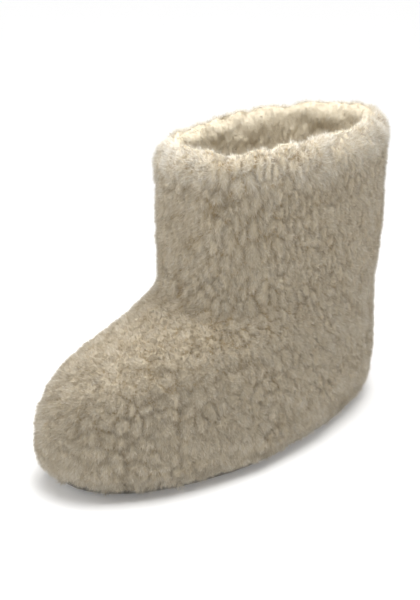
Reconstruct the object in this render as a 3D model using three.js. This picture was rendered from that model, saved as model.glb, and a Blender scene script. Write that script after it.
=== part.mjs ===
// Ankle-high wool slipper boot for the left foot: a fleece upper with a rolled collar, a thin
// felt outsole and a fleece insole. Millimetres, +Z up, the toe points to -Y and +X is the
// outer side of the foot. The origin is on the floor, under the middle of the boot.

import * as THREE from "three";

// Driving sizes
const soleThickness = 5;
const soleInset = 2.5; // the pile hangs this far out over the felt
const soleBevel = 1.5;
const insoleThickness = 6;
const insoleBevel = 2.5;
const clearance = 0.3; // between pieces that touch
const footWall = 9; // skin with pile on both sides
const collarWall = 14;
const collarRise = 8; // height of the rolled edge above the last section
const toeSpring = 4;
const heelSpring = 1.5;
const archHeight = 1.5;

// Stretches of the sole that lie flat on the floor, along Y
const forefootFlat = { from: -88, to: -46 };
const heelFlat = { from: 58, to: 112 };

// The foot's curve: the toe turns inwards, the outer side bulges and the inner side has a
// waist under the arch. Its place and reach are shares of half the length.
const toeTurn = -11;
const outerBulge = 5;
const waistDepth = 4;
const waistPlace = 0.1;
const waistReach = 0.6;

// Points around each section, and rows of facets up each stretch of the surface
const around = 56;
const outsideRows = 30;
const insideRows = 20;
const rimRows = 6;

// Sections of the upper's outside, from the sole's edge up to the collar. Each is a ring that
// meets the toe or shin at (frontY, frontZ) and the heel or calf at (backY, backZ). halfWidth
// is half its width across the foot. squareFront and squareBack are the powers of its rounded
// outline, where 2 is an ellipse.
const sections = [
  // sole edge
  { frontY: -128, frontZ: 5, backY: 126, backZ: 5, halfWidth: 49.5, squareFront: 2.6, squareBack: 2.5 },
  // lower curve
  { frontY: -134, frontZ: 14, backY: 130.5, backZ: 13, halfWidth: 53.5, squareFront: 2.6, squareBack: 2.5 },
  // widest
  { frontY: -136, frontZ: 30, backY: 132.5, backZ: 32, halfWidth: 55, squareFront: 2.6, squareBack: 2.5 },
  // toe bulge
  { frontY: -132.5, frontZ: 47, backY: 132.5, backZ: 50, halfWidth: 55, squareFront: 2.6, squareBack: 2.5 },
  // toe crown
  { frontY: -121, frontZ: 63, backY: 132.5, backZ: 67, halfWidth: 54, squareFront: 2.6, squareBack: 2.5 },
  // low vamp
  { frontY: -99, frontZ: 76, backY: 132.5, backZ: 82, halfWidth: 52, squareFront: 2.5, squareBack: 2.5 },
  // high vamp
  { frontY: -71, frontZ: 85, backY: 132.5, backZ: 97, halfWidth: 49.5, squareFront: 2.5, squareBack: 2.5 },
  // ankle fold
  { frontY: -46, frontZ: 95, backY: 132.5, backZ: 113, halfWidth: 48.5, squareFront: 2.6, squareBack: 2.5 },
  // above the ankle
  { frontY: -39.5, frontZ: 115, backY: 132.5, backZ: 131, halfWidth: 49, squareFront: 2.9, squareBack: 2.5 },
  // middle of the shaft
  { frontY: -39, frontZ: 149, backY: 132, backZ: 157, halfWidth: 49, squareFront: 3.1, squareBack: 2.5 },
  // collar
  { frontY: -39, frontZ: 181, backY: 132, backZ: 186, halfWidth: 49, squareFront: 3.1, squareBack: 2.5 },
];
const ankleLevel = 8 / (sections.length - 1); // where the foot's curve has faded out

const clamp01 = (t) => Math.min(Math.max(t, 0), 1);
const smooth = (t) => clamp01(t) ** 2 * (3 - 2 * clamp01(t));

// A column of the table at level 0 (sole edge) to 1 (collar), by a curve that never overshoots
function column(name, level) {
  const values = sections.map((row) => row[name]);
  const last = values.length - 1;
  const place = clamp01(level) * last;
  const i = Math.min(Math.floor(place), last - 1);
  const t = place - i;
  const step = (k) => values[k + 1] - values[k];
  const slope = (k) => {
    if (k === 0) return step(0);
    if (k === last) return step(last - 1);
    const before = step(k - 1);
    const after = step(k);
    return before * after <= 0 ? 0 : (2 * before * after) / (before + after);
  };
  const t2 = t * t;
  const t3 = t2 * t;
  return (
    values[i] * (2 * t3 - 3 * t2 + 1) +
    slope(i) * (t3 - 2 * t2 + t) +
    values[i + 1] * (3 * t2 - 2 * t3) +
    slope(i + 1) * (t3 - t2)
  );
}

// How far the sole's underside is off the floor: toe spring, arch and a trace at the heel
function lift(y) {
  const tip = sections[2].frontY;
  const heel = sections[2].backY;
  if (y < forefootFlat.from) {
    return toeSpring * ((forefootFlat.from - y) / (forefootFlat.from - tip)) ** 2;
  }
  if (y > heelFlat.to) {
    return heelSpring * ((y - heelFlat.to) / (heel - heelFlat.to)) ** 2;
  }
  if (y > forefootFlat.to && y < heelFlat.from) {
    const along = (y - forefootFlat.to) / (heelFlat.from - forefootFlat.to);
    return archHeight * Math.sin(Math.PI * along) ** 2;
  }
  return 0;
}

// A point of the upper's outside. angle 0 is the front and a quarter turn is the outer side.
function outside(angle, level) {
  const frontY = column("frontY", level);
  const backY = column("backY", level);
  const along = -Math.cos(angle); // -1 at the front, 1 at the back
  const across = Math.sin(angle);
  const y = (frontY + backY) / 2 + ((backY - frontY) / 2) * along;
  const power = 2 / column(along < 0 ? "squareFront" : "squareBack", level);
  const width = column("halfWidth", level) * Math.sign(across) * Math.abs(across) ** power;
  const foot = 1 - smooth(level / ankleLevel);
  const turn = toeTurn * clamp01(-along) ** 2 + outerBulge * Math.cos((along * Math.PI) / 2);
  const waist = across < 0 ? waistDepth * smooth(1 - Math.abs(along - waistPlace) / waistReach) : 0;
  const height = THREE.MathUtils.lerp(
    column("frontZ", level),
    column("backZ", level),
    (1 + along) / 2,
  );
  return new THREE.Vector3(width + foot * (turn + waist), y, height + foot * lift(y));
}

// The direction straight out of the upper's outside, level near the sole so that the wall
// keeps its width down to the bottom edge
function outward(angle, level) {
  const small = 1e-3;
  const low = Math.max(level - small, 0);
  const high = Math.min(level + small, 1);
  const sideways = outside(angle + small, level).sub(outside(angle - small, level));
  const up = outside(angle, high).sub(outside(angle, low));
  const normal = sideways.cross(up).normalize();
  normal.z *= smooth((level - 0.12) / 0.2);
  return normal.normalize();
}

// A point a given depth under the upper's outside
function under(angle, level, depth) {
  return outside(angle, level).addScaledVector(outward(angle, level), -depth);
}

// A point of the upper's inside, one wall in from the outside
function inside(angle, level) {
  const wall = THREE.MathUtils.lerp(footWall, collarWall, smooth((level - 0.5) / 0.5));
  return under(angle, level, wall);
}

// A ring of points, one for each angle, from a function of the angle
function ring(point) {
  return Array.from({ length: around }, (_, k) => point((2 * Math.PI * k) / around));
}

// Triangles between each ring and the next. A closed loft also joins the last to the first.
function loft(rings, closed) {
  const triangles = [];
  const strips = closed ? rings.length : rings.length - 1;
  for (let r = 0; r < strips; r += 1) {
    const lower = r * around;
    const upper = ((r + 1) % rings.length) * around;
    for (let k = 0; k < around; k += 1) {
      const next = (k + 1) % around;
      triangles.push(lower + k, lower + next, upper + next);
      triangles.push(lower + k, upper + next, upper + k);
    }
  }
  return triangles;
}

// Triangles that close a ring, between the two points on each side with the same Y
function cap(first, facingUp) {
  const triangles = [];
  const add = (a, b, c) => triangles.push(...(facingUp ? [a, b, c] : [a, c, b]));
  for (let k = 0; k < around / 2; k += 1) {
    const outer = first + k;
    const outerNext = first + k + 1;
    const inner = first + ((around - k) % around);
    const innerNext = first + around - k - 1;
    if (k > 0) add(outer, outerNext, inner);
    if (k < around / 2 - 1) add(outerNext, innerNext, inner);
  }
  return triangles;
}

// A named mesh from its rings of points and its triangles
function solid(name, rings, triangles, material) {
  const geometry = new THREE.BufferGeometry();
  const numbers = rings.flat().flatMap((p) => [p.x, p.y, p.z]);
  geometry.setAttribute("position", new THREE.Float32BufferAttribute(numbers, 3));
  geometry.setIndex(triangles);
  geometry.computeVertexNormals();
  const mesh = new THREE.Mesh(geometry, material);
  mesh.name = name;
  return mesh;
}

// The height of the sole's top at a place along the foot
const soleTop = (y) => lift(y) + soleThickness;

// Upper: up the outside, over the rolled collar, down the inside and across the bottom edge
function makeUpper() {
  const onSole = (point) => point.setZ(soleTop(point.y) + clearance);
  const rings = [ring((a) => onSole(outside(a, 0)))];
  for (let r = 1; r <= outsideRows; r += 1) {
    rings.push(ring((a) => outside(a, r / outsideRows)));
  }
  for (let r = 1; r < rimRows; r += 1) {
    const turn = (Math.PI * r) / rimRows;
    rings.push(
      ring((a) => {
        const share = (1 - Math.cos(turn)) / 2;
        const point = outside(a, 1).lerp(inside(a, 1), share);
        point.z += collarRise * Math.sin(turn);
        return point;
      }),
    );
  }
  for (let r = insideRows; r > 0; r -= 1) {
    rings.push(ring((a) => inside(a, r / insideRows)));
  }
  rings.push(ring((a) => onSole(inside(a, 0))));
  const fleece = new THREE.MeshStandardMaterial({ color: 0xcfc4ad, roughness: 0.95, metalness: 0 });
  return solid("upper", rings, loft(rings, true), fleece);
}

// A flat layer under the foot, from rings given as an inset from the upper's bottom edge and a
// height above the sole's underside
function makeLayer(name, steps, material) {
  const rings = steps.map(({ inset, height }) =>
    ring((a) => {
      const point = under(a, 0, inset);
      return point.setZ(lift(point.y) + height);
    }),
  );
  const triangles = loft(rings, false);
  triangles.push(...cap(0, false), ...cap((rings.length - 1) * around, true));
  return solid(name, rings, triangles, material);
}

function makeSole() {
  const felt = new THREE.MeshStandardMaterial({ color: 0x5e5a54, roughness: 0.95, metalness: 0 });
  const steps = [
    { inset: soleInset + soleBevel, height: 0 },
    { inset: soleInset, height: soleBevel },
    { inset: soleInset, height: soleThickness },
  ];
  return makeLayer("sole", steps, felt);
}

function makeInsole() {
  const lining = new THREE.MeshStandardMaterial({ color: 0xc2b193, roughness: 0.95, metalness: 0 });
  const bottom = soleThickness + clearance;
  const inner = footWall + 2 * clearance;
  const steps = [
    { inset: inner, height: bottom },
    { inset: inner, height: bottom + insoleThickness - insoleBevel },
    { inset: inner + insoleBevel, height: bottom + insoleThickness },
  ];
  return makeLayer("insole", steps, lining);
}

const boot = new THREE.Group();
boot.add(makeUpper(), makeSole(), makeInsole());

// The origin goes under the middle of the boot's box
const box = new THREE.Box3().setFromObject(boot);
boot.position.set(-(box.min.x + box.max.x) / 2, -(box.min.y + box.max.y) / 2, 0);

export default boot;
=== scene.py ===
# %% [markdown]
# # A wool slipper boot
# The real one is a soft ankle boot of natural wool fleece on a thin felt sole. The packed
# model gives the true size and place of its three pieces: upper, sole and insole. This lesson
# gives each of them the surface of the real one. The fleece is the main work: pile that has
# drawn together into locks, with narrow valleys between them and fine hairs all over.

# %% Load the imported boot
import math

import bpy
import numpy as np
from mathutils import Matrix, Vector, kdtree


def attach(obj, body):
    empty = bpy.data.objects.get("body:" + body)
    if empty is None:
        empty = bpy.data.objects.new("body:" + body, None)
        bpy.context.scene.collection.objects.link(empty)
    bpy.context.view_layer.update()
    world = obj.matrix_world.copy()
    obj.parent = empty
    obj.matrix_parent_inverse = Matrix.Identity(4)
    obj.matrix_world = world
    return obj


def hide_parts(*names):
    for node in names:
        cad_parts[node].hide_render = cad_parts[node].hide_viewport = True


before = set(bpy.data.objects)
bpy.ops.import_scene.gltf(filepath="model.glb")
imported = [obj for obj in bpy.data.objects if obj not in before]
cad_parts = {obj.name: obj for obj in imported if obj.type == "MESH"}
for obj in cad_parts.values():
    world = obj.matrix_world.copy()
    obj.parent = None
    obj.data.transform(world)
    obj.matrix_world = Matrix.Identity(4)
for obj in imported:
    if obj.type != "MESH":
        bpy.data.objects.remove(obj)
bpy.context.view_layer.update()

MM = 0.001  # Blender works in metres, and a slipper is measured in millimetres

# %% [markdown]
# ## Camera
# The boot is seen from its outer front side, a little from above, as on a shop's page. The
# camera stands 0.7 m away with a portrait lens, which keeps the toe from looking too large.
# Its place is worked out from two angles, a distance and the point that it looks at.

# %% Camera
CAMERA_AZIMUTH = 43.9  # degrees round from straight in front
CAMERA_ELEVATION = 20.8
CAMERA_ROLL = 0.3
CAMERA_DISTANCE = 702.8  # mm
CAMERA_TARGET = (4.9, -22.1, 96.4)  # mm
CAMERA_LENS = 69.5  # mm


def make_camera():
    azimuth = math.radians(CAMERA_AZIMUTH)
    elevation = math.radians(CAMERA_ELEVATION)
    back = Vector((
        math.sin(azimuth) * math.cos(elevation),
        -math.cos(azimuth) * math.cos(elevation),
        math.sin(elevation),
    ))
    data = bpy.data.cameras.new("camera")
    data.lens = CAMERA_LENS
    camera = bpy.data.objects.new("camera", data)
    bpy.context.scene.collection.objects.link(camera)
    camera.location = (Vector(CAMERA_TARGET) + back * CAMERA_DISTANCE) * MM
    aim = (-back).to_track_quat("-Z", "Y").to_matrix()
    roll = Matrix.Rotation(math.radians(CAMERA_ROLL), 3, "Z")
    camera.rotation_euler = (aim @ roll).to_euler()
    bpy.context.scene.camera = camera
    return camera


print("camera at", make_camera().location)

# %% [markdown]
# ## Helpers for colours and nodes
# Colours are picked on a screen, as hex values, while a shader counts light. One function
# turns the first into the second. Another adds a node with its settings and links, so that
# each material reads as a short list of what it is made of.

# %% Colour and node helpers
def linear(hex_colour):
    shares = [int(hex_colour[i:i + 2], 16) / 255 for i in (1, 3, 5)]
    light = [s / 12.92 if s <= 0.04045 else ((s + 0.055) / 1.055) ** 2.4 for s in shares]
    return (*light, 1.0)


def new_material(name):
    material = bpy.data.materials.new(name)
    material.use_nodes = True
    material.node_tree.nodes.clear()
    return material, material.node_tree


def add_node(tree, kind, settings=None, links=None):
    made = tree.nodes.new(kind)
    for key, value in (settings or {}).items():
        if isinstance(key, int) or key in made.inputs:
            made.inputs[key].default_value = value
        else:
            setattr(made, key, value)
    for key, source in (links or {}).items():
        tree.links.new(source, made.inputs[key])
    return made


# %% [markdown]
# ## Floor and light
# The floor is a large sheet of white paper. The light is soft and comes mostly from above: a
# wide bright ceiling, and a softbox close over the collar, which makes the rim the brightest
# part. A panel at the left lights the toe and a weaker one lights the heel. The room is
# brighter near the horizon than overhead, as between white walls. Wool lets light wander from
# hair to hair, so the light is allowed more bounces than usual.

# %% Floor
FLOOR_SIDE = 14.0  # m
PAPER_GLOW = 0.11


def make_floor():
    bpy.ops.mesh.primitive_plane_add(size=FLOOR_SIDE)
    floor = bpy.context.object
    floor.name = "floor"
    material, tree = new_material("white paper")
    paper = add_node(tree, "ShaderNodeBsdfPrincipled", {
        "Base Color": linear("#fafafa"), "Roughness": 0.9, "Specular IOR Level": 0.1,
        "Emission Color": (1, 1, 1, 1), "Emission Strength": PAPER_GLOW,
    })
    add_node(tree, "ShaderNodeOutputMaterial", links={"Surface": paper.outputs["BSDF"]})
    floor.data.materials.append(material)
    return floor


print("floor", make_floor().dimensions)

# %% Light
LIGHT_AIM = (0, 0, 0.1)  # m, the middle of the boot
CEILING_WAY = (-0.15, 0.2, 1)  # the ceiling's light comes from here
CEILING_STRENGTH = 2.08
CEILING_ANGLE = 60  # degrees
SOFTBOX_PLACE = (0.07, -0.04, 0.5)  # m
SOFTBOX_SIDE = 0.3
SOFTBOX_POWER = 1.65
PANEL_PLACE = (-0.75, -0.75, 0.45)
PANEL_SIDE = 0.6
PANEL_POWER = 3.8
HEEL_PANEL_PLACE = (0.5, 0.8, 0.4)
HEEL_PANEL_POWER = 1.6
WALL_TOP = 0.08  # share of straight up, below which the room is as bright as its walls
CEILING_EDGE = 0.55  # and above which it is as dim as overhead
WALL_STRENGTH = 0.78
OVERHEAD_STRENGTH = 0.22
LIGHT_BOUNCES = 10


def add_light(name, kind, place, towards, strength, size):
    data = bpy.data.lights.new(name, kind)
    data.energy = strength
    if kind == "SUN":
        data.angle = math.radians(size)
    else:
        data.size = size
    lamp = bpy.data.objects.new(name, data)
    lamp.location = place
    lamp.rotation_euler = (Vector(towards) - Vector(place)).to_track_quat("-Z", "Y").to_euler()
    bpy.context.scene.collection.objects.link(lamp)


def make_light():
    add_light("ceiling", "SUN", CEILING_WAY, (0, 0, 0), CEILING_STRENGTH, CEILING_ANGLE)
    add_light("softbox", "AREA", SOFTBOX_PLACE, LIGHT_AIM, SOFTBOX_POWER, SOFTBOX_SIDE)
    add_light("side panel", "AREA", PANEL_PLACE, LIGHT_AIM, PANEL_POWER, PANEL_SIDE)
    add_light("heel panel", "AREA", HEEL_PANEL_PLACE, LIGHT_AIM, HEEL_PANEL_POWER, PANEL_SIDE)
    room = bpy.data.worlds.new("room")
    room.use_nodes = True
    tree = room.node_tree
    tree.nodes.clear()
    place = add_node(tree, "ShaderNodeTexCoord")
    split = add_node(tree, "ShaderNodeSeparateXYZ", links={"Vector": place.outputs["Generated"]})
    strength = add_node(tree, "ShaderNodeMapRange", {
        "From Min": WALL_TOP, "From Max": CEILING_EDGE,
        "To Min": WALL_STRENGTH, "To Max": OVERHEAD_STRENGTH,
    }, {"Value": split.outputs["Z"]})
    glow = add_node(tree, "ShaderNodeBackground", {"Color": (1, 1, 1, 1)}, {
        "Strength": strength.outputs["Result"],
    })
    add_node(tree, "ShaderNodeOutputWorld", links={"Surface": glow.outputs["Background"]})
    scene = bpy.context.scene
    scene.world = room
    scene.view_settings.view_transform = "Standard"
    scene.cycles.diffuse_bounces = LIGHT_BOUNCES


make_light()
print("lights", [lamp.name for lamp in bpy.data.lights])

# %% [markdown]
# ## The fleece's underlayer
# Under the hairs there is a body of packed wool, which carries the shapes that the eye reads
# first. It could be sculpted by hand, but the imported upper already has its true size, so a
# copy of that is the start. The copy's loose triangles are merged and smoothed, and a voxel
# remesh gives it small even faces, fine enough to hold a lock 5 mm wide.

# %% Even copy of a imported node
MERGE_DISTANCE = 0.01  # mm
FLAT_ANGLE = 60  # degrees, up to which two triangles become one quad


def select_only(piece):
    bpy.ops.object.select_all(action="DESELECT")
    piece.select_set(True)
    bpy.context.view_layer.objects.active = piece


def merged_copy(node_name, name):
    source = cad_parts[node_name]
    mesh = source.data.copy()
    mesh.name = name
    mesh.materials.clear()
    piece = bpy.data.objects.new(name, mesh)
    bpy.context.scene.collection.objects.link(piece)
    select_only(piece)
    bpy.ops.object.mode_set(mode="EDIT")
    bpy.ops.mesh.select_all(action="SELECT")
    bpy.ops.mesh.remove_doubles(threshold=MERGE_DISTANCE * MM)
    bpy.ops.mesh.tris_convert_to_quads(face_threshold=math.radians(FLAT_ANGLE))
    bpy.ops.object.mode_set(mode="OBJECT")
    return piece


def even_faces(piece, smoothing, voxel):
    if smoothing:
        modifier = piece.modifiers.new("smoothing", "SUBSURF")
        modifier.levels = modifier.render_levels = smoothing
        bpy.ops.object.modifier_apply(modifier=modifier.name)
    piece.data.remesh_voxel_size = voxel * MM
    bpy.ops.object.voxel_remesh()
    piece.data.polygons.foreach_set("use_smooth", np.ones(len(piece.data.polygons), bool))
    print(piece.name, len(piece.data.polygons), "faces")


FLEECE_VOXEL = 1.65  # mm
fleece = merged_copy("upper", "fleece_upper")
even_faces(fleece, smoothing=2, voxel=FLEECE_VOXEL)

# %% [markdown]
# ## Working on all points at once
# The underlayer has about 90,000 points. Tables of numbers move them all in one step, where a
# loop would be slow. A fade is a soft step from 0 to 1 between two places. The noise is a soft
# random field: close points get close values, and its size in millimetres says how wide its
# hills are. Its tables are seeded, so every run gives the same boot.

# %% Points, normals and noise
def read_points(mesh):
    flat = np.empty(len(mesh.vertices) * 3, np.float32)
    mesh.vertices.foreach_get("co", flat)
    return flat.reshape(-1, 3).astype(float) / MM


def write_points(mesh, points):
    mesh.vertices.foreach_set("co", (points * MM).astype(np.float32).ravel())
    mesh.update()


def read_normals(mesh):
    flat = np.empty(len(mesh.vertices) * 3, np.float32)
    mesh.vertex_normals.foreach_get("vector", flat)
    return flat.reshape(-1, 3).astype(float)


def smooth(t):
    t = np.clip(t, 0, 1)
    return t * t * (3 - 2 * t)


def fade(values, start, full):
    return smooth((values - start) / (full - start))


def unit(v):
    return v / np.maximum(np.linalg.norm(v, axis=-1, keepdims=True), 1e-9)


def noise(points, size, seed):
    side = 48  # cells, after which the field repeats
    table = np.random.default_rng(seed).uniform(-1, 1, (side, side, side))
    place = points / size
    cell = np.floor(place).astype(int)
    t = smooth(place - cell)
    total = np.zeros(len(points))
    for corner in np.ndindex(2, 2, 2):
        share = np.prod(np.where(corner, t, 1 - t), axis=1)
        i, j, k = ((cell + corner) % side).T
        total += share * table[i, j, k]
    return total


rest = read_points(fleece.data)
across, along, height = rest.T
out = read_normals(fleece.data)
print("points", len(rest))

# %% [markdown]
# ## Outside, rim and inside
# The pile isn't the same everywhere. A line through the middle of the foot and up the leg
# tells the two sides apart: outside, the surface faces away from the line, and inside it
# faces the line. The measure is 1 outside, 0 inside and in between on the rolled rim.

# %% Which side of the wall
MIDDLE_LINE = np.array([(-6, -95, 32), (0, -40, 40), (-3, 46, 60), (-3, 46, 200)], float)
FACING_IN = -0.35  # cosine of the angle between a face's normal and the way out
FACING_OUT = 0.25
RIM_START = 175  # mm, the height where the collar starts to roll
RIM_FULL = 185


def nearest_on_line(points, line):
    best = np.full(len(points), np.inf)
    nearest = np.zeros_like(points)
    for a, b in zip(line[:-1], line[1:]):
        along = np.clip((points - a) @ (b - a) / ((b - a) @ (b - a)), 0, 1)
        spot = a + along[:, None] * (b - a)
        distance = np.linalg.norm(points - spot, axis=1)
        closer = distance < best
        best[closer] = distance[closer]
        nearest[closer] = spot[closer]
    return nearest, best


away = unit(rest - nearest_on_line(rest, MIDDLE_LINE)[0])
outside = fade(np.sum(out * away, axis=1), FACING_IN, FACING_OUT)
rim = fade(height, RIM_START, RIM_FULL)
print("share outside", round(float(outside.mean()), 2))

# %% [markdown]
# ## Locks
# Fleece hairs grow in locks that stay together at their tips. On the leg they hang in long
# narrow drops, and on the foot they are rounder. Scattered centres that keep their distance
# give natural cells, and each point belongs to its nearest centre. Before the search the
# heights on the leg are pressed together, so that round cells come out long.

# %% Lock centres
FOOT_LOCK = 5.8  # mm wide
LEG_LOCK = 4.5
LOCK_CHANGE = [70, 110]  # mm, the heights between which one width becomes the other
LOCK_VARIETY = 0.35  # share of the width
RIM_GROWTH = 0.2
LOCK_LENGTHS = ([0, 60, 110, 200], [0, 52, 78, 121])  # real height, pressed height
TRIED_POINTS = 32000
random = np.random.default_rng(7)


def pressed(points):
    return np.column_stack((points[:, :2], np.interp(points[:, 2], *LOCK_LENGTHS)))


def scatter(points, spacing, order):
    cell = spacing.max()
    keys = np.floor(points / cell).astype(int)
    around = np.array(list(np.ndindex(3, 3, 3))) - 1
    grid, kept = {}, []
    for i in order:
        close = [j for step in around for j in grid.get(tuple(keys[i] + step), ())]
        if close and np.min(np.sum((points[close] - points[i]) ** 2, axis=1)) < spacing[i] ** 2:
            continue
        grid.setdefault(tuple(keys[i]), []).append(i)
        kept.append(i)
    return np.array(kept)


lock_size = np.interp(height, LOCK_CHANGE, [FOOT_LOCK, LEG_LOCK])
lock_size = lock_size * (1 + LOCK_VARIETY * noise(rest, size=14, seed=41) + RIM_GROWTH * rim)
lock_space = pressed(rest)
tried = random.permutation(len(rest))[:TRIED_POINTS]
centres = tried[scatter(lock_space[tried], lock_size[tried], range(len(tried)))]
print("locks", len(centres))

# %% [markdown]
# The borders of the locks wander, so that they aren't straight like those of a honeycomb. A
# valley runs where two centres are as near as each other. In some places the locks stand
# apart, and in others they have grown together and the valleys close.

# %% Each point's lock
LARGE_WANDER = 2.4  # mm
SMALL_WANDER = 0.7
VALLEY_WIDTH = 0.9
DOME_TIGHTNESS = 1.15
EDGE_REACH = 0.8  # share of a lock's width
LEAST_OPEN = 0.5


def nearest_two(points, targets):
    tree = kdtree.KDTree(len(targets))
    for k, target in enumerate(targets):
        tree.insert(target, k)
    tree.balance()
    found = [tree.find_n(point, 2) for point in points]
    first = np.array([pair[0][2] for pair in found])
    second = np.array([pair[1][2] for pair in found])
    return np.array([pair[0][1] for pair in found]), first, second


wander = np.column_stack([
    LARGE_WANDER * noise(rest, size=9, seed=seed)
    + SMALL_WANDER * noise(rest, size=3.5, seed=seed + 3)
    for seed in (11, 12, 13)
])
lock, to_centre, to_next = nearest_two(lock_space + wander, lock_space[centres])
openness = smooth(0.5 + 0.9 * noise(rest, size=12, seed=21))
openness = LEAST_OPEN + (1 - LEAST_OPEN) * openness
valley = openness * np.exp(-((to_next - to_centre) / VALLEY_WIDTH) ** 2)
dome = 1 - np.clip(DOME_TIGHTNESS * to_centre / lock_size, 0, 1) ** 2
edge = smooth((to_next - to_centre) / lock_size / EDGE_REACH)
crown = 1 - openness * (1 - 0.5 * edge - 0.5 * dome)
print("crown", crown.min().round(2), "to", crown.max().round(2))

# %% [markdown]
# ## Creases
# A few lines of the real boot aren't chance, and they are placed one by one, in the boot's
# own millimetres: the seam down the front, the fold where the foot meets the leg, the
# dimples under the collar, and the partings in the pile on the toe and the instep. Each has
# a depth and a half width.

# %% Creases
FRONT_SEAM = [
    (4, -36, 186), (-2, -37, 165), (-5, -38, 140), (-6, -38, 120), (-5, -40, 104),
    (-3, -52, 92), (-1, -75, 83), (-5, -97, 76), (-11, -112, 69), (-13, -125, 58),
    (-10, -133, 41), (-11, -133, 26),
]
CREASES = [  # name, points of its line, depth, half width
    ("front seam", FRONT_SEAM, 0.8, 2.2),
    ("ankle fold", [(-30, -40, 97), (-1, -43, 98), (16, -42, 94), (35, -36, 86)], 0.8, 6),
    ("collar dimple, front", [(19, -33, 172), (23, -29, 162), (17, -34, 154)], 1.2, 4),
    ("collar dimple, side", [(38, -16, 172), (40, -12, 160), (38, -16, 150)], 1.2, 4),
    ("low toe parting", [(26, -110, 44), (25, -111, 26), (20, -107, 8)], 1.3, 1.8),
    ("side parting", [(38, -79, 62), (39, -83, 43), (40, -83, 24)], 0.8, 2.0),
    ("toe tip parting", [(4, -119, 62), (5, -128, 50), (4, -130, 41)], 1.2, 2.2),
    ("toe top parting", [(13, -97, 73), (21, -87, 75), (30, -76, 73)], 1.0, 3),
    ("instep parting", [(43, -57, 67), (46, -39, 71), (49, -20, 68)], 0.7, 3),
]
crease = np.zeros(len(rest))
for name, line, depth, half_width in CREASES:
    distance = nearest_on_line(rest, np.array(line, float))[1]
    crease = np.maximum(crease, depth * np.exp(-(distance / half_width) ** 2))
    print(name, depth, "mm deep")

# %% [markdown]
# ## Relief
# Now the underlayer gets its shape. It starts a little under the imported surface, because the
# hairs stand on top of it. Locks rise as low domes, valleys and creases sink, and a slow
# swell keeps the sides from looking stretched. The relief is lower inside the boot and where
# the surface faces up, and the rim and the lower foot have soft lumps of their own. At the
# heel and the inner ankle the real pile lies flatter.

# %% Relief along the normals
BASE_DEPTH = -1.5  # mm
LOCK_RISE = 2.2
VALLEY_DEPTH = 0.15
FINE_LUMPS = 0.3
SWELL = 0.45
INNER_LUMPS = 0.9
LOW_LUMPS = 0.8
RIM_LUMPS = 1.6
RIM_LIFT = 0.4
HEEL_PRESS = 2.2
ANKLE_PRESS = 3.0
LOWER_INSIDE = 0.3  # share of the relief that is lost there
LOWER_ON_RIM = 0.3
LOWER_FACING_UP = 0.6
FACING_UP = [0, 0.6]  # upward part of the normal, where that starts and where it is full
LOW_FOOT = [55, 30]  # mm, heights
HEEL_TOP = [105, 75]
HEEL_BACK = [85, 125]  # mm, places along the foot
INNER_SIDE = [10, -20]  # mm, places across the foot
INNER_ANKLE_ALONG = (-60, 55)  # mm, middle and reach
INNER_ANKLE_HEIGHT = (85, 45)
FOOTBED_WALL = 22  # mm, the height up to which the inner wall is plain, round the footbed
PLAIN_RELIEF = 0.6


def near(values, place, reach):
    return smooth(1 - np.abs(values - place) / reach)


relief = BASE_DEPTH + LOCK_RISE * crown - VALLEY_DEPTH * valley
relief += FINE_LUMPS * noise(rest, size=2.6, seed=31) + SWELL * noise(rest, size=22, seed=32)
relief *= (1 - LOWER_INSIDE + LOWER_INSIDE * outside) * (1 - LOWER_ON_RIM * rim)
relief += INNER_LUMPS * (1 - outside * (1 - rim)) * noise(rest, size=8, seed=37)
relief *= 1 - LOWER_FACING_UP * outside * fade(out[:, 2], *FACING_UP) * (1 - rim)
relief += rim * (RIM_LIFT + RIM_LUMPS * noise(rest, size=10, seed=34))
low_lumps = outside * fade(height, *LOW_FOOT) * noise(rest, size=6, seed=38)
relief += LOW_LUMPS * low_lumps
relief -= outside * crease
heel = fade(along, *HEEL_BACK) * fade(height, *HEEL_TOP)
inner_ankle = fade(across, *INNER_SIDE) * near(along, *INNER_ANKLE_ALONG)
inner_ankle = inner_ankle * near(height, *INNER_ANKLE_HEIGHT)
relief -= outside * (HEEL_PRESS * heel + ANKLE_PRESS * inner_ankle)
relief = np.where((outside < 0.5) & (height < FOOTBED_WALL), PLAIN_RELIEF, relief)
print("relief", relief.min().round(1), "to", relief.max().round(1), "mm")

# %% [markdown]
# Two changes of form go level, straight out from the leg or the foot. The collar swells a
# little below its top and is drawn in at the edge, so that it is a soft roll. Low on the
# outer side the boot bulges in front of the arch and is drawn in beside the heel, and the
# sole will follow it there.

# %% Collar roll and lower side
COLLAR_TOP = ([-37, 132], [189, 194])  # mm, places along the foot and the collar's height there
SWELL_PLACE = 14  # mm below the collar's top
SWELL_REACH = 8
EDGE_PULL = 3.2
EDGE_HEIGHT = 13
ARCH_BULGE = 1.6
ARCH_ALONG = (-28, 34)  # mm, middle and reach
HEEL_PULL = 2.8
HEEL_ALONG = (66, 62)
LOW_SIDE = [34, 16]  # mm, heights
OUTER_SIDE = [0, 20]  # mm, places across the foot
SOLE_LEVEL = [5.5, 8.5]  # mm, the heights between which the relief fades in, above the sole


def lower_side(points):
    across, along, height = points.T
    low = fade(height, *LOW_SIDE) * fade(across, *OUTER_SIDE)
    return low * (ARCH_BULGE * near(along, *ARCH_ALONG) - HEEL_PULL * near(along, *HEEL_ALONG))


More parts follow.
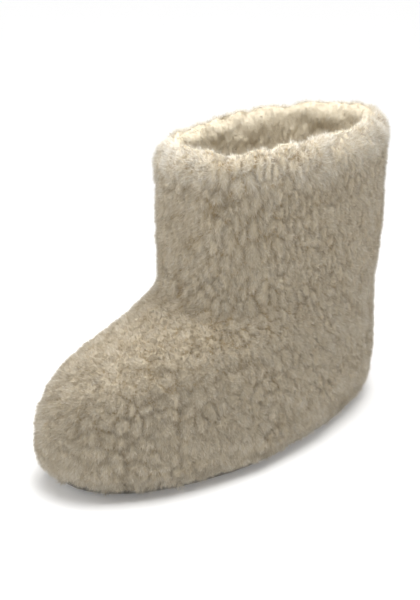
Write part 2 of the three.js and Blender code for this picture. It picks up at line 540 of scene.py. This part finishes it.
below_top = np.interp(along, *COLLAR_TOP) - height
roll = np.exp(-((below_top - SWELL_PLACE) / SWELL_REACH) ** 2)
roll = roll - EDGE_PULL * smooth(1 - below_top / EDGE_HEIGHT)
level = unit(away * [1, 1, 0]) * ((roll + lower_side(rest)) * outside)[:, None]
above_sole = fade(height, *SOLE_LEVEL)
write_points(fleece.data, rest + out * (relief * above_sole)[:, None] + level)
shaped = read_points(fleece.data)
shaped_normals = read_normals(fleece.data)
print("collar roll", roll.min().round(1), "to", roll.max().round(1), "mm")

# %% [markdown]
# ## Hairs
# The softness comes from the hairs. A particle system would not reach the exported model, so
# each hair is a real sliver of mesh, one long triangle, and each pile is one joined mesh of
# them. A hair leans down the leg, towards the crown of its own lock, and a little anywhere.
# Its shading normal is mostly that of the lock under it, so a lock shades as one soft body.
# Its UV says how light the hair is, across, and how far up the hair a point is, along.

# %% A surface to grow on
class Surface:
    """The points of a piece that hairs grow on, and what is known of each."""

    def __init__(self, mesh, points, normals):
        mesh.calc_loop_triangles()
        corners = np.empty(len(mesh.loop_triangles) * 3, np.int32)
        mesh.loop_triangles.foreach_get("vertices", corners)
        self.corners = corners.reshape(-1, 3)
        self.points, self.normals = points, normals
        a, b, c = points[self.corners].transpose(1, 0, 2)
        self.areas = np.linalg.norm(np.cross(b - a, c - a), axis=1) / 2

    def pick(self, count, weight):
        odds = self.areas * weight[self.corners].mean(axis=1)
        corner = self.corners[random.choice(len(odds), count, p=odds / odds.sum())]
        r, s = np.sqrt(random.random(count)), random.random(count)
        shares = np.column_stack((1 - r, r * (1 - s), r * s))
        return corner, lambda values: np.einsum("ij,ij...->i...", shares, values[corner])


# %% One mesh of many hairs
def hair_mesh(name, points, uv, normals):
    count = len(points)
    mesh = bpy.data.meshes.new(name)
    mesh.vertices.add(count * 3)
    mesh.vertices.foreach_set("co", (points.ravel() * MM).astype(np.float32))
    mesh.loops.add(count * 3)
    mesh.loops.foreach_set("vertex_index", np.arange(count * 3, dtype=np.int32))
    mesh.polygons.add(count)
    mesh.polygons.foreach_set("loop_start", np.arange(0, count * 3, 3, dtype=np.int32))
    mesh.polygons.foreach_set("loop_total", np.full(count, 3, np.int32))
    mesh.polygons.foreach_set("use_smooth", np.ones(count, bool))
    mesh.update(calc_edges=True)
    layer = mesh.uv_layers.new(name="OFBake")
    layer.data.foreach_set("uv", uv.astype(np.float32).ravel())
    mesh.normals_split_custom_set_from_vertices(normals.reshape(-1, 3).astype(np.float32))
    return mesh


# %% Growing a pile
DOWN = np.array([0.0, -0.5, -1.0])  # down the leg, and forwards on the foot
HAIR_LEAN = {"down": 0.8, "lock": 0.15, "tuft": 0.28, "own": 0.55}
LEAN_REACH = 0.8  # how far a hair reaches along its lean, next to how far it rises
RISE_SPREAD = (0.3, 2.0)  # lowest and highest share
LENGTH_SPREAD = (0.7, 1.25)
WIDTH_SPREAD = (0.8, 1.2)
ROOT_DEPTH = 0.5  # mm under the surface
FLOOR_GAP = 0.05
SIDE_TURN = 0.35
TONE_SPREAD = 0.18
HALF_TONE = 0.02  # the tone changes this much from the middle of a hair to its side
NORMAL_SHARES = {"lock": 0.85, "hair": 0.2, "own": 0.28, "side": 0.25, "tip": 0.2}


def grow(name, surface, count, weight, length, width, rise, shade, lean):
    # Each hair's root, the way it grows and its tip
    corner, at = surface.pick(count, weight)
    root = at(surface.points)
    up = unit(at(surface.normals))
    lean = lean(corner[:, 0], root) + HAIR_LEAN["own"] * random.normal(0, 1, (count, 3))
    lean = unit(lean - up * np.sum(lean * up, axis=1, keepdims=True))
    way = unit(up * rise * random.uniform(*RISE_SPREAD, (count, 1)) + LEAN_REACH * lean)
    size = at(length) * random.uniform(*LENGTH_SPREAD, count)
    root = root - ROOT_DEPTH * way
    tip = root + way * size[:, None]
    # Its two lower corners, half its width to each side of the root
    side = unit(np.cross(lean, up) + SIDE_TURN * random.normal(0, 1, (count, 3)))
    side = unit(side - way * np.sum(side * way, axis=1, keepdims=True))
    half = side * (width / 2 * random.uniform(*WIDTH_SPREAD, count))[:, None]
    points = np.stack((root - half, root + half, tip), axis=1)
    points[:, :, 2] = np.maximum(points[:, :, 2], FLOOR_GAP)
    # How light it is, and the normals that it shades with
    tone = at(shade) + TONE_SPREAD * random.normal(0, 1, count)
    tone = np.clip(tone, HALF_TONE, 1 - HALF_TONE)
    u = np.stack((tone - HALF_TONE, tone + HALF_TONE, tone), axis=1)
    v = np.broadcast_to([0, 0, 1.0], (count, 3))
    face = unit(np.cross(side, way))
    face *= np.sign(np.sum(face * up, axis=1, keepdims=True))
    share = NORMAL_SHARES
    own = share["own"] * random.normal(0, 1, (count, 3))
    soft = unit(share["lock"] * up + share["hair"] * face + own)
    bend = share["side"] * side
    normals = np.stack((soft - bend, soft + bend, soft + share["tip"] * way), axis=1)
    mesh = hair_mesh(name, points, np.stack((u, v), axis=2), unit(normals))
    piece = bpy.data.objects.new(name, mesh)
    bpy.context.scene.collection.objects.link(piece)
    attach(piece, "root")
    print(name, count, "hairs")
    return piece


# %% [markdown]
# What the upper's hairs need to know is worked out for every point at once. They are shorter
# low on a lock. Their colour has painted shade there, in valleys and in creases, and a painted
# highlight near the collar's top, where light from above comes through the wool. Inside the
# boot it is painted lighter, for light that the wool bounces round the cavity, and the inner
# rim gets painted shade. On the rim the hairs stand up more.

# %% Length, shade and stand of the upper's hairs
HAIR_LENGTH = 3.6  # mm
LOW_LENGTH = 0.7  # share of it, at the foot of a lock
RIM_LENGTH = 0.3  # mm more
SHADE = 0.55  # 0 is the deepest colour of the wool and 1 the lightest
TUFT_SHADE = 0.025
# Painted shade: how much darker the hairs are in valleys, low on a lock and in creases
VALLEY_PAINTED_SHADE = 0.06
LOW_PAINTED_SHADE = 0.05
CREASE_PAINTED_SHADE = 0.06
LUMP_SHADE = 0.07
# Painted light inside the boot, for light that the wool bounces round the cavity, and painted
# shade on the inner rim
INSIDE_PAINTED_LIGHT = 0.03
INNER_RIM_PAINTED_SHADE = 0.08
# Painted highlight: the hairs are lighter near the collar's top, for light from above coming
# through the wool
TOP_PAINTED_LIGHT = 0.42
TOP_HEIGHT = 32  # mm below the collar's top
TOP_UNEVEN = 0.12
INNER_RIM_SHARE = 0.5
RIM_STAND = 0.6
STAND_HEIGHT = 20

tuft_lean = np.random.default_rng(5).normal(0, 1, (len(centres), 3))
tuft_shade = np.random.default_rng(9).normal(0, TUFT_SHADE, len(centres))
hair_length = HAIR_LENGTH * (LOW_LENGTH + (1 - LOW_LENGTH) * crown) + RIM_LENGTH * rim
# Each hair's tone: random from lock to lock, with painted shade in valleys, low on locks and in
# creases
hair_shade = SHADE + tuft_shade[lock] - VALLEY_PAINTED_SHADE * valley
hair_shade = hair_shade - LOW_PAINTED_SHADE * (1 - crown) - CREASE_PAINTED_SHADE * crease
# Inside the boot the hairs get painted light and the inner rim painted shade; low on the foot
# the tone follows the lumps
hair_shade += (1 - outside) * (INSIDE_PAINTED_LIGHT - INNER_RIM_PAINTED_SHADE * rim) + LUMP_SHADE * low_lumps
# Painted highlight near the collar's top, outside and on the inner rim
painted_top_light = smooth(1 - below_top / TOP_HEIGHT + TOP_UNEVEN * noise(rest, size=8, seed=35))
hair_shade += TOP_PAINTED_LIGHT * np.maximum(outside, INNER_RIM_SHARE * rim) * painted_top_light
roundness = outside * smooth(1 - below_top / STAND_HEIGHT)
standing = unit(shaped_normals + RIM_STAND * roundness[:, None] * [0, 0, 1])
fleece_surface = Surface(fleece.data, shaped, standing)
print("shade", hair_shade.min().round(2), "to", hair_shade.max().round(2))

# %% [markdown]
# Each pile has a place of its own. The hem hangs past the edge of the sole, longer in one tuft
# at the toe. Inside, the pile is thick where it shows, high in the leg, and where the wall
# meets the footbed, and thin in between.

# %% Where each pile grows
LEG_BOTTOM = 92  # mm, where the leg's pile starts
FOOT_TOP = 100  # where the foot's pile has ended
FOOT_EDGE = [4, 7]
HEM_TOP = 14
HEM_FULL = 9
CORNER_TOP = 24  # where the wall meets the footbed
CORNER_FULL = 16
THIN_INSIDE = 0.15  # share of the pile that is left deep inside
INSIDE_SHOWS = [70, 100]  # mm, the heights between which it gets thick
CORNER_THICKNESS = 1.5
HEM_LENGTH = 4.2
HEM_UNEVEN = 3.6
HEM_TATTERED = 3
SHORTEST_HEM = 1
LONGEST_HEM = 9
TUFT_PLACE = (16, -113, 8)
TUFT_REACH = 12
TUFT_LENGTH = 2.5

leg = outside * fade(height, LEG_BOTTOM, FOOT_TOP)
foot = outside * fade(height, FOOT_TOP, LEG_BOTTOM) * fade(height, *FOOT_EDGE)
hem = outside * fade(height, HEM_TOP, HEM_FULL)
corner = (1 - outside) * fade(height, CORNER_TOP, CORNER_FULL)
inside = (1 - outside) * (THIN_INSIDE + (1 - THIN_INSIDE) * fade(height, *INSIDE_SHOWS))
inside = inside + CORNER_THICKNESS * corner
tuft = np.exp(-np.sum(((rest - TUFT_PLACE) / TUFT_REACH) ** 2, axis=1))
hem_length = HEM_LENGTH + HEM_UNEVEN * noise(rest, size=7, seed=36)
hem_length = hem_length + HEM_TATTERED * noise(rest, size=3, seed=39)
hem_length = np.clip(hem_length, SHORTEST_HEM, LONGEST_HEM) + TUFT_LENGTH * tuft
print("hem", hem_length.min().round(1), "to", hem_length.max().round(1), "mm long")

# %% Piles of the upper
HAIR_WIDTH = 0.26  # mm
HAIR_RISE = 0.95
FLYAWAY_LENGTH = 1.9  # mm more
INSIDE_LENGTH = 0.75  # share of the outer length
CORNER_LENGTH = 2  # mm more
LEAN_DISTANCE = 4  # mm from its lock's centre, where a hair leans towards it by the full share


def lock_lean(vertex, root):
    ids = lock[vertex]
    inward = (rest[centres[ids]] - root) / LEAN_DISTANCE
    lean = HAIR_LEAN["down"] * DOWN + HAIR_LEAN["lock"] * inward
    return lean + HAIR_LEAN["tuft"] * tuft_lean[ids]


def upper_pile(name, count, where, length, width=HAIR_WIDTH, rise=HAIR_RISE):
    return grow(
        name, fleece_surface, count, where, length, width, rise, hair_shade, lock_lean
    )


# Two piles cover the foot, because a piece stays under 200,000 triangles
outer_piles = [
    upper_pile("pile_leg", 198000, leg, hair_length),
    upper_pile("pile_foot_top", 198000, foot, hair_length),
    upper_pile("pile_foot_side", 125000, foot, hair_length),
    upper_pile("pile_hem", 36000, hem, hem_length, width=0.28, rise=0.45),
    upper_pile(
        "flyaway_hairs", 60000, leg + foot, hair_length + FLYAWAY_LENGTH, width=0.12, rise=2.2
    ),
]
inside_length = INSIDE_LENGTH * hair_length + CORNER_LENGTH * corner
inner_pile = upper_pile("pile_inside", 120000, inside, inside_length, width=0.3, rise=0.7)

# %% [markdown]
# ## Wool
# Wool from the sheep's back, washed and not dyed, cream at the tips. Deep between the locks and
# at each hair's root the colour is painted warmer and darker, as painted shade for the light
# that passes through more hair there. A wool fibre has scales that scatter light, so it is
# nearly matt, with a faint sheen at grazing angles, and a part of the light passes through it.
# A hair here is drawn about 0.26 mm wide, ten times the real one, so that it shows in the
# picture.

# %% Wool materials
LIGHT_THROUGH = 0.25  # share of the light that passes through a hair
# Painted shade at the roots, where the hairs shade each other
ROOT_PAINTED_SHADE = 0.25  # share of the deep colour at a hair's root
BODY_TONE = 0.3  # where the wool's middle colours lie between the deepest and the lightest
TIP_TONE = 0.75
# A Mix node has sockets for each kind of value. These are the ones for colours.
MIX_SHARE = 0
MIX_FIRST = 6
MIX_SECOND = 7
MIX_RESULT = 2
# And these are the ones of a Mix Shader node
SHADER_SHARE = 0
SHADER_FIRST = 1
SHADER_SECOND = 2


def make_wool(name, deep, body, tip, white):
    material, tree = new_material(name)
    uv = add_node(tree, "ShaderNodeUVMap", {"uv_map": "OFBake"})
    split = add_node(tree, "ShaderNodeSeparateXYZ", links={"Vector": uv.outputs["UV"]})
    tone = add_node(tree, "ShaderNodeValToRGB", links={"Fac": split.outputs["X"]})
    stops = tone.color_ramp.elements
    stops[0].color = linear(deep)
    stops[1].color = linear(white)
    stops.new(BODY_TONE).color = linear(body)
    stops.new(TIP_TONE).color = linear(tip)
    # Painted shade: the colour darkens towards each hair's root
    depth = add_node(tree, "ShaderNodeMapRange", {
        "From Max": 0.5, "To Min": ROOT_PAINTED_SHADE, "To Max": 0.0,
    }, {"Value": split.outputs["Y"]})
    mixed = add_node(tree, "ShaderNodeMix", {"data_type": "RGBA", MIX_SECOND: linear(deep)}, {
        MIX_SHARE: depth.outputs["Result"], MIX_FIRST: tone.outputs["Color"],
    })
    colour = mixed.outputs[MIX_RESULT]
    wool = add_node(tree, "ShaderNodeBsdfPrincipled", {
        "Roughness": 0.85, "Specular IOR Level": 0.2,
        "Sheen Weight": 0.3, "Sheen Roughness": 0.5,
    }, {"Base Color": colour})
    through = add_node(tree, "ShaderNodeBsdfTranslucent", links={"Color": colour})
    both = add_node(tree, "ShaderNodeMixShader", {SHADER_SHARE: LIGHT_THROUGH}, {
        SHADER_FIRST: wool.outputs["BSDF"], SHADER_SECOND: through.outputs["BSDF"],
    })
    add_node(tree, "ShaderNodeOutputMaterial", links={"Surface": both.outputs["Shader"]})
    return material


outer_wool = make_wool("natural wool pile", "#937f60", "#c4b79e", "#e3dccd", "#faf7ef")
for piece in outer_piles:
    piece.data.materials.append(outer_wool)
# The inner pile is a lighter copy of the wool: painted light for the light bounced round inside
# the boot
inner_wool_painted_lighter = make_wool("inner wool pile", "#ad9874", "#d8ceb8", "#e9e1cf", "#f6f2e9")
inner_pile.data.materials.append(inner_wool_painted_lighter)
print("materials", outer_wool.name, "and", inner_wool_painted_lighter.name)

# %% [markdown]
# The underlayer is the same wool, packed. Only slits of it show between the hairs, so it
# needs the right colour, with painted shade that darkens it in the valleys and creases, and a
# fine bump like matted fibre.

# %% Packed wool
MATTED_FIBRE = 0.8  # mm, coarser than the real fibre, so that it shows


def make_packed_wool():
    material, tree = new_material("packed wool")
    valley_here = add_node(tree, "ShaderNodeAttribute", {"attribute_name": "valley"})
    colour = add_node(tree, "ShaderNodeMix", {
        "data_type": "RGBA", MIX_FIRST: linear("#e2d8c2"), MIX_SECOND: linear("#aa9675"),
    }, {MIX_SHARE: valley_here.outputs["Fac"]})
    place = add_node(tree, "ShaderNodeTexCoord")
    fibre = add_node(tree, "ShaderNodeTexNoise", {
        "Scale": 1 / (MATTED_FIBRE * MM), "Detail": 3.0, "Distortion": 1.5,
    }, {"Vector": place.outputs["Object"]})
    bump = add_node(tree, "ShaderNodeBump", {"Strength": 0.6, "Distance": 0.4 * MM}, {
        "Height": fibre.outputs["Fac"],
    })
    rough = add_node(tree, "ShaderNodeMapRange", {"To Min": 0.85, "To Max": 1.0}, {
        "Value": fibre.outputs["Fac"],
    })
    wool = add_node(tree, "ShaderNodeBsdfPrincipled", {"Specular IOR Level": 0.1}, {
        "Base Color": colour.outputs[MIX_RESULT], "Roughness": rough.outputs["Result"],
        "Normal": bump.outputs["Normal"],
    })
    add_node(tree, "ShaderNodeOutputMaterial", links={"Surface": wool.outputs["BSDF"]})
    return material


def write_valleys(mesh, values):
    layer = mesh.attributes.new("valley", "FLOAT", "POINT")
    layer.data.foreach_set("value", np.clip(values, 0, 1).astype(np.float32))


# Painted shade: the upper's packed wool is darker in its valleys and creases
write_valleys(fleece.data, outside * (0.3 + valley + 0.3 * crease))
fleece.data.materials.append(make_packed_wool())
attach(fleece, "root")
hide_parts("upper")
print("underlayer", fleece.name)

# %% [markdown]
# ## Sole
# The sole is dense grey wool felt, 5 mm thick, cut a little smaller than the fleece so that
# the pile hangs over it. Felt has no weave: pressed fibres lie every way, and its cut edge is
# slightly uneven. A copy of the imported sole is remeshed, and noise moves the points of its
# edge a trace. The edge also follows the fleece's lower side.

# %% Felt sole
FELT_FIBRE = 1.2  # mm, coarser than the real fibre, so that it shows
SOLE_VOXEL = 2.2
EDGE_TRIM = 0.4  # mm, so that the uneven edge stays under the hem
FINE_WOBBLE = 0.25
SLOW_WOBBLE = 0.3


def make_felt():
    material, tree = new_material("grey wool felt")
    place = add_node(tree, "ShaderNodeTexCoord")
    fibre = add_node(tree, "ShaderNodeTexNoise", {
        "Scale": 1 / (FELT_FIBRE * MM), "Detail": 5.0, "Roughness": 0.7, "Distortion": 2.5,
    }, {"Vector": place.outputs["Object"]})
    tone = add_node(tree, "ShaderNodeMix", {
        "data_type": "RGBA", MIX_FIRST: linear("#4f4c47"), MIX_SECOND: linear("#8b877f"),
    }, {MIX_SHARE: fibre.outputs["Fac"]})
    bump = add_node(tree, "ShaderNodeBump", {"Strength": 0.5, "Distance": 0.3 * MM}, {
        "Height": fibre.outputs["Fac"],
    })
    rough = add_node(tree, "ShaderNodeMapRange", {"To Min": 0.85, "To Max": 1.0}, {
        "Value": fibre.outputs["Fac"],
    })
    felt = add_node(tree, "ShaderNodeBsdfPrincipled", {
        "Specular IOR Level": 0.15, "Sheen Weight": 0.2, "Sheen Roughness": 0.5,
    }, {
        "Base Color": tone.outputs[MIX_RESULT], "Roughness": rough.outputs["Result"],
        "Normal": bump.outputs["Normal"],
    })
    add_node(tree, "ShaderNodeOutputMaterial", links={"Surface": felt.outputs["BSDF"]})
    return material


sole = merged_copy("sole", "felt_sole")
even_faces(sole, smoothing=0, voxel=SOLE_VOXEL)
points = read_points(sole.data)
normals = read_normals(sole.data)
wobble = FINE_WOBBLE * noise(points, size=3, seed=51)
wobble = wobble + SLOW_WOBBLE * noise(points, size=11, seed=52) - EDGE_TRIM
on_edge = 1 - np.abs(normals[:, 2])
write_points(sole.data, points + normals * ((wobble + lower_side(points)) * on_edge)[:, None])
sole.data.materials.append(make_felt())
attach(sole, "root")
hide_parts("sole")

# %% [markdown]
# ## Insole
# Deep inside lies a padded footbed with a short tan pile. It is hidden from the side, and it
# shows when one looks straight down the leg. It is made as the upper is, with a lower relief
# and shorter hairs, and its edge is filled out to meet the wall.

# %% Footbed
FOOTBED_VOXEL = 2.2  # mm
PAD_LUMPS = 0.5
PAD_DEPTH = 0.6
EDGE_FILL = 1.5  # closes the gap between the footbed's edge and the wall
FOOTBED_SHADE = 0.6
FOOTBED_LENGTH = 2.4  # mm
EDGE_LENGTH = 1.4  # mm more at the edge


def no_lean(vertex, root):
    return np.zeros_like(root)


footbed = merged_copy("insole", "footbed")
even_faces(footbed, smoothing=1, voxel=FOOTBED_VOXEL)
points = read_points(footbed.data)
normals = read_normals(footbed.data)
facing_up = fade(normals[:, 2], 0, 0.5)
bevel = fade(normals[:, 2], 0, 0.3) * fade(normals[:, 2], 1, 0.75)
lumps = noise(points, size=6, seed=61)
pad = PAD_LUMPS * lumps + PAD_LUMPS * noise(points, size=16, seed=62) - PAD_DEPTH
pad = pad * facing_up + EDGE_FILL * bevel
write_points(footbed.data, points + normals * pad[:, None])
write_valleys(footbed.data, 0.5 - 0.2 * lumps)
footbed.data.materials.append(make_packed_wool())
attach(footbed, "root")
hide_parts("insole")

# %% Pile of the footbed
footbed_pile = grow(
    "footbed_pile",
    Surface(footbed.data, read_points(footbed.data), read_normals(footbed.data)),
    26000,
    weight=facing_up + 2 * bevel,
    length=FOOTBED_LENGTH + EDGE_LENGTH * bevel,
    width=0.3,
    rise=1.2,
    shade=FOOTBED_SHADE + 0.06 * lumps,
    lean=no_lean,
)
tan_wool = make_wool("tan wool pile", "#8f7854", "#b8a688", "#d6c9ae", "#e6dcc6")
footbed_pile.data.materials.append(tan_wool)
